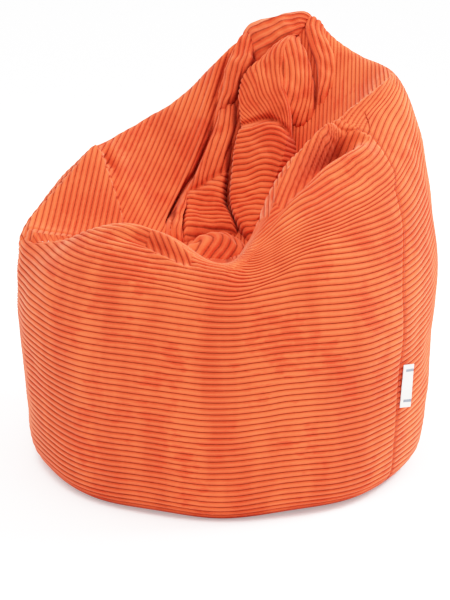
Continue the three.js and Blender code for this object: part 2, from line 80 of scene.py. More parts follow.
def ring(stations, column):
    """Smooth closed curve through values given at some directions."""
    k = np.array([s[0] for s in stations], float)
    v = np.array([s[column] for s in stations], float)
    k = np.concatenate([k[-2:] - 360, k, k[:3] + 360])
    v = np.concatenate([v[-2:], v, v[:3]])
    m = (v[2:] - v[:-2]) / (k[2:] - k[:-2])

    def f(deg):
        a = (np.asarray(deg, float) - k[2]) % 360 + k[2]
        i = np.clip(np.searchsorted(k, a, side="right") - 1, 1, len(k) - 3)
        h = k[i + 1] - k[i]
        t = (a - k[i]) / h
        return ((2 * t**3 - 3 * t**2 + 1) * v[i] + (t**3 - 2 * t**2 + t) * h * m[i - 1]
                + (3 * t**2 - 2 * t**3) * v[i + 1] + (t**3 - t**2) * h * m[i])
    return f


edge_radius, edge_height, belly_height = ring(EDGE, 1), ring(EDGE, 2), ring(BELLY, 1)


def belly_radius(deg):
    a = np.radians(deg)
    return 1 / np.hypot(np.cos(a) / (WIDTH / 2), np.sin(a) / (DEPTH / 2))


BACK_FLAT = float(belly_radius(SEAM_BACK)) * 0.985


def section(deg):
    """Control points of the bag's section in one direction, from the base seam to the middle of the seat."""
    belly = belly_radius(deg)
    base = belly * BASE
    roll = HEIGHT * 0.07
    top = edge_height(deg) * HEIGHT
    edge = np.minimum(edge_radius(deg) * WIDTH / 2, belly - 0.004)
    mid = np.minimum(belly_height(deg) * HEIGHT, top - 0.13 * HEIGHT)
    o = np.zeros_like(top)
    pts = [(base - roll * 0.55, o), (base, o), (base + roll * 0.5, o + roll * 0.3),
           (mix(base, belly, 0.72), o + roll), (mix(base, belly, 0.88), mix(roll, mid, 0.4)), (belly, mid),
           (mix(edge, belly, 0.74), mix(mid, top, 0.66)), (edge, top),
           (edge - 0.065 * HEIGHT, mix(top, SEAT, 0.12)), (edge * 0.62, mix(top, SEAT, 0.42)),
           (edge * 0.38, mix(top, SEAT, 0.84)), (o, o + SEAT), (-edge * 0.38, mix(top, SEAT, 0.84))]
    return np.stack([np.stack([r, z], -1) for r, z in pts], -2)


def section_point(deg, t):
    p = section(deg)
    i = np.clip(np.floor(t).astype(int), 0, T_MIDDLE - 1)
    k = (t - i)[..., None]

    def at(j):
        return np.take_along_axis(p, (i + j)[..., None, None].repeat(2, -1), axis=-2)[..., 0, :]
    p0, p1, p2, p3 = at(0), at(1), at(2), at(3)
    return 0.5 * (2 * p1 + (p2 - p0) * k + (2 * p0 - 5 * p1 + 4 * p2 - p3) * k * k
                  + (-p0 + 3 * p1 - 3 * p2 + p3) * k**3)


def turn_from(deg, centre):
    return (deg - centre + 180) % 360 - 180


def point(deg, t):
    """The bag's plain surface, before folds, wrinkles and wales."""
    deg, t = np.broadcast_arrays(np.asarray(deg, float), np.asarray(t, float))
    rz = section_point(deg, t)
    r, z = rz[..., 0], rz[..., 1]
    turn = turn_from(deg, SEAM_BACK)
    across = 1 - smooth((np.abs(turn) - 11) / 16)
    beside_zip = smooth((z - ZIP_BOTTOM + 0.070) / 0.028) * smooth((ZIP_TOP + 0.090 - z) / 0.040)
    along = np.where(t > T_EDGE, 0, beside_zip)
    flat = BACK_FLAT / np.maximum(0.5, np.cos(np.radians(turn)))
    r = mix(r, flat, across * along)
    a = np.radians(deg)
    return np.stack([r * np.cos(a), r * np.sin(a), z], -1)


def unit(v):
    return v / np.maximum(np.linalg.norm(v, axis=-1, keepdims=True), 1e-12)


def normals(p):
    """Outward normals of a grid of points whose rows climb and whose columns run anticlockwise."""
    return unit(np.cross(np.gradient(p, axis=1), np.gradient(p, axis=0)))


# ---- seeded smooth noise
class Noise:
    """Sum of a few dozen plane waves: smooth, seeded and cheap."""

    def __init__(self, seed, size, waves=28):
        rng = np.random.default_rng(seed)
        self.k = unit(rng.normal(size=(waves, 3))) * (2 * math.pi / size) * rng.uniform(0.6, 1.5, (waves, 1))
        self.phase = rng.uniform(0, 2 * math.pi, waves)
        self.scale = 1 / math.sqrt(waves / 2)

    def __call__(self, p):
        out = np.zeros(p.shape[:-1])
        for k, phase in zip(self.k, self.phase):
            out += np.sin(p @ k + phase)
        return out * self.scale


SLOW, MID, QUICK = Noise(3, 0.22), Noise(5, 0.075), Noise(8, 0.03)


# ---- creases pressed into the surface
# Lines over the bag: (direction, t) or (direction, t, depth). Most of them, and of the folds further down,
# start from outlines read in the photograph and placed on the bag by a scratch program. Some points are
# as that program printed them, and the others were changed or added by hand.
SPLIT = [(-175, 5.88), (-150, 5.88), (-135, 5.84), (-126, 5.76), (-120, 5.74), (-113, 5.62), (-104, 5.62),
         (-95, 5.8), (-88, 5.88), (-72, 5.9), (-66, 5.82), (-60, 5.76), (-50, 5.76), (-42, 5.76), (-33, 5.66),
         (-27, 5.62), (-21, 5.64), (-17, 5.72), (-10, 5.88), (185, 5.88)]
RIDGE = [(-78, 6.04), (-66, 5.84), (-60, 5.77), (-50, 5.75), (-42, 5.76), (-33, 5.67),
         (-27, 5.62), (-20, 5.6)]
VALLEY = [(-74, 5.98, 0.0), (-64, 5.9, 0.010), (-56, 5.87, 0.020), (-46, 5.87, 0.031), (-38, 5.86, 0.043),
          (-31, 5.83, 0.049), (-25, 5.80, 0.046), (-21, 5.77, 0.022), (-17, 5.72, 0.0)]
ARM_SEAM = [(-67, 6.06), (-60, 5.99), (-54, 5.97), (-46, 5.97), (-38, 5.97), (-30, 5.96),
            (-24, 5.94), (-19, 5.87), (-16, 5.74)]
LIP = [(-135, 5.62, 0.0), (-128, 5.70, 0.004), (-122, 5.78, 0.009), (-116, 5.78, 0.013), (-110, 5.76, 0.013),
       (-104, 5.78, 0.009), (-99, 5.82, 0.0)]
# Edge of the left cheek over the inner wall: [t, direction].
CHEEK = [(6.0, 149), (6.3, 151), (6.6, 152.5), (6.95, 155), (7.3, 158), (7.6, 161), (7.9, 165), (8.4, 173),
         (9.2, 188)]
# Crease between the left wall and the folds of the crown: [t, direction].
CROWN_CREASE = [(6.3, 88), (6.78, 92), (7.1, 96), (7.52, 98), (7.78, 101), (7.96, 106), (8.12, 111),
                (8.22, 116), (8.36, 123), (8.48, 130), (8.74, 146), (9.1, 160)]
# The right seam leans back over the armrest: [t, direction].
SEAM_LINE = [(0, -34), (1.7, -34), (3.0, -36), (4.0, -36), (4.34, -34), (4.7, -30), (5.04, -27), (5.16, -22),
             (5.46, -17), (5.62, -15), (5.74, -16), (5.87, -19), (6.1, -22), (7.0, -24), (10, -24)]


def column(stops, i):
    return np.array([s[i] for s in stops], float)


def along_line(stops, k, i=1):
    return np.interp(k, column(stops, 0), column(stops, i))


def back_angle(deg):
    """Directions counted from -170 to 190, without a jump across the left wall."""
    a = turn_from(deg, 0)
    return np.where(a < -170, a + 360, a)


def sculpt(deg, t, p):
    """Height of folds and wrinkles above the plain surface, in metres."""
    a = turn_from(deg, 0)
    back = back_angle(deg)
    h = 0.0016 * SLOW(p) + 0.0006 * MID(p) * smooth((t - 1.0) / 1.5)

    floor_t, depth = along_line(VALLEY, a), along_line(VALLEY, a, 2)
    h = h - depth * np.exp(-(np.abs(t - floor_t) / 0.13) ** 2.4)
    h = h + 0.30 * depth * np.exp(-((t - along_line(RIDGE, a) + 0.10) / 0.12) ** 2)
    h = h + 0.28 * depth * np.exp(-((t - 6.06) / 0.10) ** 2)

    lip_t, lip = along_line(LIP, a), along_line(LIP, a, 2)
    h = h - lip * np.exp(-(np.abs(t - lip_t) / 0.13) ** 2.6)
    h = h + 0.4 * lip * np.exp(-((t - lip_t - 0.28) / 0.12) ** 2)

    h = h + 0.004 * np.exp(-((t - along_line(SPLIT, a) + 0.05) / 0.05) ** 2) * bump((a + 111) / 11)

    arm = smooth((a + 72) / 12) * smooth((16 - a) / 12)
    h = h + arm * (0.011 * np.exp(-((t - 6.08) / 0.08) ** 2) - 0.007 * np.exp(-((t - 6.45) / 0.22) ** 2))
    corner = smooth((a + 176) / 8) * smooth((-140 - a) / 14)
    h = h - 0.006 * corner * np.exp(-((t - 6.16) / 0.09) ** 2)

    edge = along_line(CHEEK, t)
    reach = smooth((t - 6.05) / 0.25) * smooth((9.0 - t) / 0.8)
    h = h + 0.017 * smooth((back - edge) / 1.6) * reach * smooth((212 - back) / 30)
    pocket = np.exp(-((back - edge + 3.2) / 2.6) ** 2) * np.exp(-((t - 6.7) / 0.42) ** 2)
    h = h - 0.018 * pocket

    crease = along_line(CROWN_CREASE, t)
    inside = smooth((t - 6.15) / 0.3) * smooth((9.3 - t) / 0.5)
    h = h - 0.012 * np.exp(-((back - crease) / 1.5) ** 2) * inside
    h = h + 0.005 * np.exp(-((back - crease - 4.5) / 3.0) ** 2) * inside
    return h


# ---- where the wales run
def wale_shape(phase):
    """0 on the crest of a wale, -1 in the groove."""
    return -np.abs(2 * (phase - np.floor(phase)) - 1) ** 2.5


def slant(degrees, scale=1.0):
    """Direction across wales that lean at this angle, 90 upright, as seen from the front."""
    a = math.radians(degrees)
    return scale * np.array([math.sin(a), -0.26 * math.cos(a), -0.966 * math.cos(a)])


ARM_SHIFT = -0.69  # lines the two sets of wales up where they blend, measured by a scratch program
RIDGE_TOP = 0.60  # length up the front panel where its wales meet the ridge


def level_wales(deg, t, p, s):
    """Wales that keep their distance from the base seam, drawn together under the armrest's ridge."""
    a = turn_from(deg, 0)
    right = smooth((a + 38) / 62) * smooth((90 - a) / 66)
    left = np.clip((-a - 105) / 70, 0, 1)
    w = s - 0.085 * right * smooth(s / 0.25) - 0.010 * left**5 * smooth(s / 0.25)
    ridge_s = np.interp(a, [-90, -78, -66, -55, -45, -33], [0.52, 0.535, 0.55, 0.565, 0.585, RIDGE_TOP])
    near = np.exp(-(np.maximum(ridge_s - s, 0) / 0.055) ** 2) * smooth((a + 92) / 14) * smooth((-22 - a) / 10)
    return w + near * (RIDGE_TOP - ridge_s)


def arm_wales(deg, t, p, s):
    """The right panel's wales carried on over the armrest, turning upright towards the hollow."""
    a = turn_from(deg, 0)
    return mix(-p @ slant(68, 1.15), s - 0.0245 - 0.0019 * (a + 16) + ARM_SHIFT, smooth((a + 31) / 12))


def sheared(direction, bend=0.0, centre=0.0):
    def f(deg, t, p, s):
        return p @ direction + bend * (p[..., 2] - centre) ** 2
    return f


def regions(deg, t):
    """Which of WALES runs at each place."""
    a, back = turn_from(deg, 0), back_angle(deg)
    out = np.zeros(np.broadcast(deg, t).shape, int)
    inner = t > 6.12
    out = np.where(inner & (back > 70) & (back <= along_line(CHEEK, t)), 1, out)
    out = np.where(inner & (back > along_line(CHEEK, t)), 2, out)
    out = np.where(inner & (a > -72) & (a <= 70), 3, out)
    seam = along_line(ARM_SEAM, a)
    on_arm = (a > -67) & (a < -16)
    out = np.where(on_arm & (t > seam) & ~inner, 4, out)
    out = np.where(on_arm & (t > along_line(RIDGE, a)) & (t <= seam), 5, out)
    crescent = (a > -118.5) & (a < -101) & (t > along_line(SPLIT, a)) & (t < 6.1)
    return np.where(crescent, 6, out)


WALES = [level_wales, sheared(slant(74, 1.12), 0.5, 0.66), sheared(slant(80, 1.05)), sheared(slant(86, 1.6)),
         arm_wales, sheared(slant(68, 1.15)), sheared(slant(112, 1.15))]


def arc_lengths(p):
    steps = np.linalg.norm(np.diff(p, axis=0), axis=-1)
    return np.concatenate([np.zeros((1, p.shape[1])), np.cumsum(steps, axis=0)], 0)


# ---- meshes
def new_object(name, points, faces, material, uv=None):
    """A smooth mesh; faces is an (n, 4) array, where a repeated corner makes a triangle.

    uv holds a pair per face corner."""
    keep = np.ones(faces.shape, bool)
    for i in range(4):
        keep[:, i] = faces[:, i] != faces[:, (i + 1) % 4]
    count = keep.sum(1)
    good = count >= 3
    faces, keep, count = faces[good], keep[good], count[good]
    mesh = bpy.data.meshes.new(name)
    mesh.vertices.add(len(points))
    mesh.vertices.foreach_set("co", points.reshape(-1).astype(np.float32))
    mesh.loops.add(int(count.sum()))
    mesh.loops.foreach_set("vertex_index", faces[keep].astype(np.int32))
    mesh.polygons.add(len(faces))
    starts = np.concatenate([[0], np.cumsum(count)[:-1]])
    mesh.polygons.foreach_set("loop_start", starts.astype(np.int32))
    mesh.update(calc_edges=True)
    mesh.polygons.foreach_set("use_smooth", np.ones(len(faces), bool))
    if uv is not None:
        layer = mesh.uv_layers.new(name="cord")
        layer.data.foreach_set("uv", uv[good][keep].reshape(-1).astype(np.float32))
    bm = bmesh.new()
    bm.from_mesh(mesh)
    loose = [v for v in bm.verts if not v.link_faces]
    bmesh.ops.delete(bm, geom=loose, context="VERTS")
    bm.to_mesh(mesh)
    bm.free()
    obj = bpy.data.objects.new(name, mesh)
    bpy.context.scene.collection.objects.link(obj)
    obj.data.materials.append(material)
    return obj


def grid_faces(rows, cols, closed=False, first=None, last=None):
    """Quads of a grid; rows before first or after last, given for each column, fall onto them."""
    i, j = np.meshgrid(np.arange(rows), np.arange(cols), indexing="ij")
    if last is not None:
        i = np.clip(i, first[None, :], last[None, :])
    ids = i * cols + j
    if closed:
        ids = np.concatenate([ids, ids[:, :1]], 1)
    return np.stack([ids[:-1, :-1], ids[:-1, 1:], ids[1:, 1:], ids[1:, :-1]], -1).reshape(-1, 4)


def corners(values):
    """Values of a grid at the four corners of each of its quads."""
    return np.stack([values[:-1, :-1], values[:-1, 1:], values[1:, 1:], values[1:, :-1]], -1).reshape(-1, 4)


# ---- materials
class Nodes:
    """Small helper to build a material's node tree."""

    def __init__(self, name):
        self.material = bpy.data.materials.new(name)
        self.material.use_nodes = True
        self.tree = self.material.node_tree
        self.bsdf = next(n for n in self.tree.nodes if n.type == "BSDF_PRINCIPLED")

    def add(self, kind, **settings):
        node = self.tree.nodes.new(kind)
        for key, value in settings.items():
            setattr(node, key, value)
        return node

    def link(self, source, target):
        self.tree.links.new(source, target)

    def feed(self, target, value):
        if hasattr(value, "is_output"):
            self.link(value, target)
        else:
            target.default_value = value

    def math(self, operation, a, b=0.0, c=None, clamp=False):
        node = self.add("ShaderNodeMath", operation=operation, use_clamp=clamp)
        self.feed(node.inputs[0], a)
        self.feed(node.inputs[1], b)
        if c is not None:
            self.feed(node.inputs[2], c)
        return node.outputs[0]

    def blend(self, factor, a, b, mode="MIX"):
        node = self.add("ShaderNodeMix", data_type="RGBA", blend_type=mode)
        self.feed(node.inputs[0], factor)
        self.feed(node.inputs[6], a)
        self.feed(node.inputs[7], b)
        return node.outputs[2]

    def noise(self, vector, scale, detail=2.0, roughness=0.5):
        node = self.add("ShaderNodeTexNoise")
        self.link(vector, node.inputs["Vector"])
        node.inputs["Scale"].default_value = scale
        node.inputs["Detail"].default_value = detail
        node.inputs["Roughness"].default_value = roughness
        return node.outputs["Fac"]

    def ramp(self, value, low, high):
        node = self.add("ShaderNodeMapRange", interpolation_type="SMOOTHSTEP")
        self.link(value, node.inputs["Value"])
        node.inputs["From Min"].default_value = low
        node.inputs["From Max"].default_value = high
        return node.outputs["Result"]

    def bump(self, height, distance, strength, normal=None):
        node = self.add("ShaderNodeBump")
        self.link(height, node.inputs["Height"])
        node.inputs["Distance"].default_value = distance
        node.inputs["Strength"].default_value = strength
        if normal is not None:
            self.link(normal, node.inputs["Normal"])
        return node.outputs["Normal"]


def srgb(r, g, b):
    """Linear colour from 8-bit sRGB."""
    def one(c):
        c = c / 255
        return c / 12.92 if c <= 0.04045 else ((c + 0.055) / 1.055) ** 2.4
    return (one(r), one(g), one(b), 1.0)


def corduroy():
    n = Nodes("corduroy")
    uv = n.add("ShaderNodeUVMap", uv_map="cord").outputs["UV"]
    split = n.add("ShaderNodeSeparateXYZ")
    n.link(uv, split.inputs[0])
    along, wale = split.outputs["X"], split.outputs["Y"]
    place = n.add("ShaderNodeTexCoord").outputs["Object"]

    fold = n.math("FRACT", wale)
    groove = n.math("ABSOLUTE", n.math("MULTIPLY_ADD", fold, 2.0, -1.0))
    groove_shade_mask = n.ramp(groove, 0.62, 0.98)
    crest = n.ramp(groove, 0.55, 0.0)

    # Pile brushed the other way: soft patches with ragged ends that follow the wales.
    stretched = n.add("ShaderNodeCombineXYZ")
    n.link(n.math("MULTIPLY", along, 30.0), stretched.inputs[0])
    n.link(n.math("MULTIPLY", wale, 0.9), stretched.inputs[1])
    strokes = n.noise(stretched.outputs[0], 1.0, 4.0, 0.6)
    patches = n.noise(place, 13.0, 4.0, 0.6)
    brushed = n.ramp(n.math("MULTIPLY_ADD", strokes, 0.6, patches), 0.81, 0.96)
    upright = n.add("ShaderNodeMapping")
    upright.inputs["Scale"].default_value = (1.0, 1.0, 0.22)
    n.link(place, upright.inputs["Vector"])
    tone = n.ramp(n.noise(upright.outputs[0], 16.0, 3.0, 0.55), 0.3, 0.7)

    # Fine fibres, short along the wale.
    fibre_space = n.add("ShaderNodeCombineXYZ")
    n.link(n.math("MULTIPLY", along, 900.0), fibre_space.inputs[0])
    n.link(n.math("MULTIPLY", wale, 7.0), fibre_space.inputs[1])
    fibres = n.noise(fibre_space.outputs[0], 1.0, 3.0, 0.65)
    fuzz = n.noise(place, 700.0, 2.0, 0.6)

    body = n.blend(tone, srgb(198, 54, 23), srgb(231, 88, 47))
    body = n.blend(n.math("MULTIPLY", brushed, 0.8), body, srgb(200, 40, 12))
    # Painted highlight: lighter colour along the crest of each wale.
    body = n.blend(n.math("MULTIPLY", crest, 0.35), body, srgb(240, 114, 68))
    # Painted shade: dark colour down in each groove between the wales.
    body = n.blend(n.math("MULTIPLY", groove_shade_mask, 0.92), body, srgb(112, 18, 4))
    speckle = n.ramp(fibres, 0.3, 0.75)
    body = n.blend(n.math("MULTIPLY", speckle, 0.28), body, srgb(240, 130, 86))
    # Painted shade: the colour turns dark red where the ambient occlusion node finds creases, folds and
    # hollows.
    ambient_occlusion = n.add("ShaderNodeAmbientOcclusion", samples=6)
    ambient_occlusion.inputs["Distance"].default_value = 0.05
    crease_shade_mask = n.ramp(ambient_occlusion.outputs["AO"], 0.62, 0.12)
    body = n.blend(n.math("MULTIPLY", crease_shade_mask, 0.85), body, srgb(138, 18, 4))
    n.link(body, n.bsdf.inputs["Base Color"])
    n.bsdf.inputs["Roughness"].default_value = 0.92
    n.bsdf.inputs["Specular IOR Level"].default_value = 0.08
    open_pile = n.math("MULTIPLY", n.math("SUBTRACT", 1.0, groove_shade_mask), ambient_occlusion.outputs["AO"])
    n.link(n.math("MULTIPLY", open_pile, 0.6), n.bsdf.inputs["Sheen Weight"])
    n.bsdf.inputs["Sheen Roughness"].default_value = 0.4
    n.bsdf.inputs["Sheen Tint"].default_value = srgb(255, 204, 170)
    pile = n.bump(fibres, 0.0006, 0.5)
    n.link(n.bump(fuzz, 0.0003, 0.35, pile), n.bsdf.inputs["Normal"])
    return n.material


def plain_floor():
    n = Nodes("studio_floor")
    place = n.add("ShaderNodeTexCoord").outputs["Object"]
    grain = n.noise(place, 60.0, 2.0, 0.5)
    n.link(n.blend(grain, srgb(246, 246, 245), srgb(249, 249, 249)), n.bsdf.inputs["Base Color"])
    n.bsdf.inputs["Roughness"].default_value = 0.9
    n.bsdf.inputs["Emission Color"].default_value = srgb(255, 255, 255)
    n.bsdf.inputs["Emission Strength"].default_value = 0.35
    return n.material


def lining():
    n = Nodes("lining")
    place = n.add("ShaderNodeTexCoord").outputs["Object"]
    weave = n.noise(place, 900.0, 2.0, 0.5)
    n.link(n.blend(weave, srgb(222, 218, 208), srgb(238, 235, 228)), n.bsdf.inputs["Base Color"])
    n.bsdf.inputs["Roughness"].default_value = 0.9
    n.link(n.bump(weave, 0.0003, 0.4), n.bsdf.inputs["Normal"])
    return n.material


def plain_material(name, colour, roughness, metallic=0.0, grain=500.0, relief=0.0002):
    """Moulded or plated finish with a fine grain."""
    n = Nodes(name)
    place = n.add("ShaderNodeTexCoord").outputs["Object"]
    texture = n.noise(place, grain, 3.0, 0.6)
    dark = tuple(c * 0.82 for c in colour[:3]) + (1.0,)
    n.link(n.blend(texture, dark, colour), n.bsdf.inputs["Base Color"])
    n.bsdf.inputs["Roughness"].default_value = roughness
    n.bsdf.inputs["Metallic"].default_value = metallic
    n.bsdf.inputs["Specular IOR Level"].default_value = 0.2
    n.link(n.bump(texture, relief, 0.5), n.bsdf.inputs["Normal"])
    return n.material


def woven(name, light, dark, pitch):
    """Plain weave: threads in both directions, fine enough to read as tape or satin."""
    n = Nodes(name)
    place = n.add("ShaderNodeTexCoord").outputs["Object"]
    split = n.add("ShaderNodeSeparateXYZ")
    n.link(place, split.inputs[0])
    level = n.math("ABSOLUTE", n.math("SINE", n.math("MULTIPLY", split.outputs["Z"], math.pi / pitch)))
    side = n.math("ADD", split.outputs["X"], split.outputs["Y"])
    upright = n.math("ABSOLUTE", n.math("SINE", n.math("MULTIPLY", side, math.pi / pitch)))
    thread = n.math("MULTIPLY", level, upright)
    n.link(n.blend(thread, dark, light), n.bsdf.inputs["Base Color"])
    n.bsdf.inputs["Roughness"].default_value = 0.75
    n.bsdf.inputs["Sheen Weight"].default_value = 0.3
    n.link(n.bump(thread, 0.0003, 0.5), n.bsdf.inputs["Normal"])
    return n.material


def bead_material():
    n = Nodes("beads")
    place = n.add("ShaderNodeTexCoord").outputs["Object"]
    cells = n.add("ShaderNodeTexVoronoi")
    n.link(place, cells.inputs["Vector"])
    cells.inputs["Scale"].default_value = 250.0
    # Painted shade: each bead is white at its middle and greyer towards its rim and the gaps between beads.
    colour = n.blend(cells.outputs["Distance"], srgb(252, 252, 250), srgb(226, 226, 222))
    n.link(colour, n.bsdf.inputs["Base Color"])
    n.bsdf.inputs["Roughness"].default_value = 0.6
    n.link(n.bump(cells.outputs["Distance"], 0.002, -0.8), n.bsdf.inputs["Normal"])
    return n.material


CORDUROY = corduroy()
LINING = lining()
BEADS = bead_material()
FLOOR = plain_floor()
TAPE = woven("zip_tape", srgb(206, 84, 48), srgb(168, 58, 28), 0.0009)
COIL = plain_material("zip_coil", srgb(196, 72, 38), 0.35)
METAL = plain_material("zip_metal", srgb(196, 196, 198), 0.28, 1.0)
WHITE_TAPE = woven("white_tape", srgb(236, 233, 226), srgb(205, 201, 192), 0.0009)
WHITE_COIL = plain_material("white_coil", srgb(230, 228, 222), 0.35)
SATIN = woven("label_satin", srgb(250, 249, 247), srgb(222, 220, 216), 0.0006)
LABEL_INK = woven("label_band", srgb(150, 160, 172), srgb(118, 128, 142), 0.0006)
THREAD = woven("seam_thread", srgb(214, 80, 42), srgb(150, 46, 18), 0.0007)


# ---- cover panels
WALE_ROWS = np.array([0.0, 0.08, 0.24, 0.5, 0.76, 0.92])  # mesh rows within one wale
SEAM_COLUMNS = np.array([0.0, 0.0013, 0.0027, 0.0048, 0.008])  # metres from a seam
SEAM_MARGIN = 0.0115  # where the even columns start beside a seam
OUTER_STEP = 0.0036
INNER_STEP = 0.0021
SEAM_SINK = 0.0034
SEAM_TUCK = 0.0034  # how far beside a seam the cloth is drawn in
CLOTH_LIFT = 0.0008


def slot_half(t, z):
    """Half width of the gap that the zip leaves between the two back panels."""
    open_part = smooth((z - ZIP_BOTTOM + 0.008) / 0.008) * smooth((ZIP_TOP + 0.008 - z) / 0.008)
    return np.where(t > T_EDGE, 0.0, open_part * ZIP_SLOT)


def seam_at(name, t):
    """Direction of a seam at t, as seen from the gore's own side."""
    t = np.asarray(t, float)
    if name == "right":
        return along_line(SEAM_LINE, t)
    if name == "left":
        return np.full(t.shape, SEAM_LEFT)
    z = point(np.full(t.shape, SEAM_BACK), t)[..., 2]
    gap = np.degrees(slot_half(t, z) / BACK_FLAT)
    return SEAM_BACK + (gap if name == "back_high" else -gap)


GORES = {"front": ("left", "right", -360), "back_right": ("right", "back_low", 0),
         "back_left": ("back_high", "left", 0)}


def place(deg, t):
    """The bag's surface with its folds, and the outward direction there."""
    step_a, step_t = 0.08, 0.012
    t_low, t_high = np.clip(t - step_t, 0, T_MIDDLE), np.clip(t + step_t, 0, T_MIDDLE)
    plain = point(deg, t)
    around = point(deg + step_a, t) - point(deg - step_a, t)
    up = unit(np.cross(around, point(deg, t_high) - point(deg, t_low)))
    from_zip = np.radians(np.abs(turn_from(deg, SEAM_BACK))) * BACK_FLAT
    calm = np.where(t < T_EDGE, smooth((from_zip - 0.03) / 0.06), 1.0)
    h = sculpt(deg, t, plain) * calm
    return plain + up * h[..., None], up


def gore_columns(lo, hi, radius, step):
    """Fractions across a gore, closer together beside its seams."""
    width = math.radians(hi - lo) * radius
    inner = np.linspace(SEAM_MARGIN, width - SEAM_MARGIN, int(width / step))
    return np.concatenate([SEAM_COLUMNS, inner, width - SEAM_COLUMNS[::-1]]) / width


def gore_angles(gore, u, t):
    low, high, shift = GORES[gore]
    a, b = seam_at(low, t) + shift, seam_at(high, t)
    return a + (b - a) * u, a, b


def seam_tuck(deg, p, lo, hi):
    """1 on a seam, fading to 0 beside it; and the distance from the bag's axis."""
    reach = np.hypot(p[..., 0], p[..., 1])
    seam = np.radians(np.minimum(np.abs(deg - lo), np.abs(deg - hi))) * reach
    return np.exp(-(seam / SEAM_TUCK) ** 2), reach


def wale_rise(phase, tuck):
    return WALE_HEIGHT * wale_shape(phase) * (1 - 0.7 * tuck) - SEAM_SINK * tuck + CLOTH_LIFT


def finish_cloth(deg, t, p, lo, hi, s):
    """Wales and seam tucks on a grid that already has its folds; returns points and cord coordinates."""
    region = regions(deg, t)
    phases = [wales(deg, t, p, s) / WALE for wales in WALES]
    phase = np.choose(region, phases)
    tuck, reach = seam_tuck(deg, p, lo, hi)
    tuck = tuck * smooth((9.0 - t) / 0.6)
    out = p + normals(p) * wale_rise(phase, tuck)[..., None]
    out[..., 2] = np.maximum(out[..., 2], 0.0)
    run = np.where((region == 0) | (region == 3), np.radians(deg) * np.maximum(reach, 0.05), s)
    return out, region, phases, run


def cloth_object(name, out, region, phases, run, last=None, first=None):
    quads = grid_faces(*out.shape[:2], first=first, last=last)
    centre = region.reshape(-1)[quads[:, 2]]
    stack = np.stack([ph.reshape(-1) for ph in phases])
    wale = stack[centre[:, None], quads]
    uv = np.stack([run.reshape(-1)[quads], wale], -1)
    obj = new_object(name, out.reshape(-1, 3), quads, CORDUROY, uv)
    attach(obj, "bag")
    return obj


def outer_panel(gore):
    """A gore from the base seam up to the edge of the seat, its mesh rows following the wales."""
    a0, b0 = seam_at(GORES[gore][0], 3.0) + GORES[gore][2], seam_at(GORES[gore][1], 3.0)
    u = gore_columns(float(a0), float(b0), WIDTH / 2, OUTER_STEP)
    fine_t = np.linspace(0, 6.15, 420)
    deg, lo, hi = gore_angles(gore, u[None, :], fine_t[:, None])
    t = np.broadcast_to(fine_t[:, None], deg.shape)
    p, up = place(deg, t)
    s = arc_lengths(p)
    phase = level_wales(deg, t, p, s) / WALE
    phase = np.maximum.accumulate(phase, axis=0) + np.arange(len(fine_t))[:, None] * 1e-7
    split_at = turn_from(deg[-1], 5) + 5 - np.where(deg[-1] < -175, 360, 0)
    split_t = along_line(SPLIT, split_at)
    ends = np.array([np.interp(split_t[j], fine_t, phase[:, j]) for j in range(len(u))])
    floor, top = math.floor(phase[0].min()), math.ceil(ends.max())
    targets = (np.arange(floor, top + 1)[:, None] + WALE_ROWS[None, :]).reshape(-1)
    target = np.clip(targets[:, None], phase[0][None, :], ends[None, :])
    first = (targets[:, None] <= phase[0][None, :]).sum(0) - 1
    last = (targets[:, None] < ends[None, :]).sum(0)
    t = np.stack([np.interp(target[:, j], phase[:, j], fine_t) for j in range(len(u))], 1)
    s = np.stack([np.interp(t[:, j], fine_t, s[:, j]) for j in range(len(u))], 1)
    deg, lo, hi = gore_angles(gore, u[None, :], t)
    p, up = place(deg, t)
    region = regions(deg, t)
    phases = [wales(deg, t, p, s) / WALE for wales in WALES]
    phases[0] = target
    phase = np.choose(region, phases)
    tuck, reach = seam_tuck(deg, p, lo, hi)
    out = p + up * wale_rise(phase, tuck)[..., None]
    out[..., 2] = np.maximum(out[..., 2], 0.0)
    run = np.radians(deg) * np.maximum(reach, 0.05)
    obj = cloth_object(f"cover_{gore}_panel_outside", out, region, phases, run, last, np.maximum(first, 0))
    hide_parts(f"cover_{gore}_panel")


def inner_panel(gore):
    """The same gore from the edge of the seat down to the bottom of the hollow."""
    a0, b0 = seam_at(GORES[gore][0], 6.5) + GORES[gore][2], seam_at(GORES[gore][1], 6.5)
    u = gore_columns(float(a0), float(b0), 0.27, INNER_STEP)
    rows = int(0.46 / INNER_STEP)
    k = np.linspace(0, 1, rows)[:, None] ** 0.93
    deg = gore_angles(gore, u[None, :], np.full((1, len(u)), 6.0))[0]
    start = along_line(SPLIT, np.where(deg < -175, deg + 360, deg)) - 0.07
    t = start + (9.97 - start) * k
    deg, lo, hi = gore_angles(gore, u[None, :], t)
    p, up = place(deg, t)
    below_t = np.linspace(0, 1, 160)[:, None] * start
    below_deg = gore_angles(gore, u[None, :], below_t)[0]
    below = arc_lengths(place(below_deg, below_t)[0])[-1]
    s = below[None, :] + arc_lengths(p)
    out, region, phases, run = finish_cloth(deg, t, p, lo, hi, s)
    sunk = 0.0026 * smooth(1 - (t - start) / 0.11)
    out = out - up * sunk[..., None]
    obj = cloth_object(f"cover_{gore}_panel_seat", out, region, phases, run)


def tucked(deg, t, p, up, depth):
    """Points a depth below the cover, deeper under the edge of the seat and lower at its left corner."""
    edge = bump((t - 6.05) / 0.6)
    corner = smooth((55 - np.abs(turn_from(deg, 190))) / 20)
    p = p - up * (depth + 0.0065 * edge * (1 - corner))[..., None]
    p[..., 2] -= 0.9 * (depth + 0.006) * edge * corner
    return p


